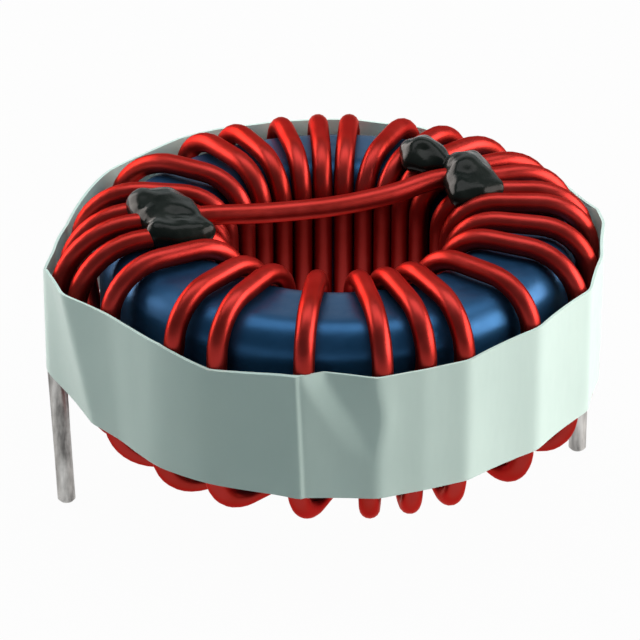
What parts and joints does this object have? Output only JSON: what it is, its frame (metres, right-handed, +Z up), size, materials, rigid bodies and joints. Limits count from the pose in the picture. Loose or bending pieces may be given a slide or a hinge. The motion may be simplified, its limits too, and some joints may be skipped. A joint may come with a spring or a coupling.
{
  "type": "fixed inductor",
  "caption": "Ring core wound with red enamelled wire, banded with pale tape, the crossing wire glued down, on two tinned leads for a circuit board.",
  "frame": {"origin": "midway between the two leads, in the plane of the winding's underside, where the part meets the circuit board", "axes": "+X from the left lead to the right lead, +Y away from the side that is pictured, +Z up along the coil's axis"},
  "size_m": [0.032, 0.0305, 0.0186],
  "materials": {
    "core_coating": "blue epoxy coat, glossy",
    "enamelled_wire": "red enamel over copper, glossy",
    "film_tape": "pale grey-green polyester film, satin",
    "black_glue": "black set glue, half gloss",
    "tinned_wire": "solder-tinned copper, dull silver"
  },
  "bodies": {
    "root": {"toroid_core": "core_coating", "winding": "enamelled_wire", "tape_band": "film_tape", "left_glue_dab": "black_glue", "right_glue_dab": "black_glue", "left_lead": "tinned_wire", "right_lead": "tinned_wire"}
  },
  "joints": []
}
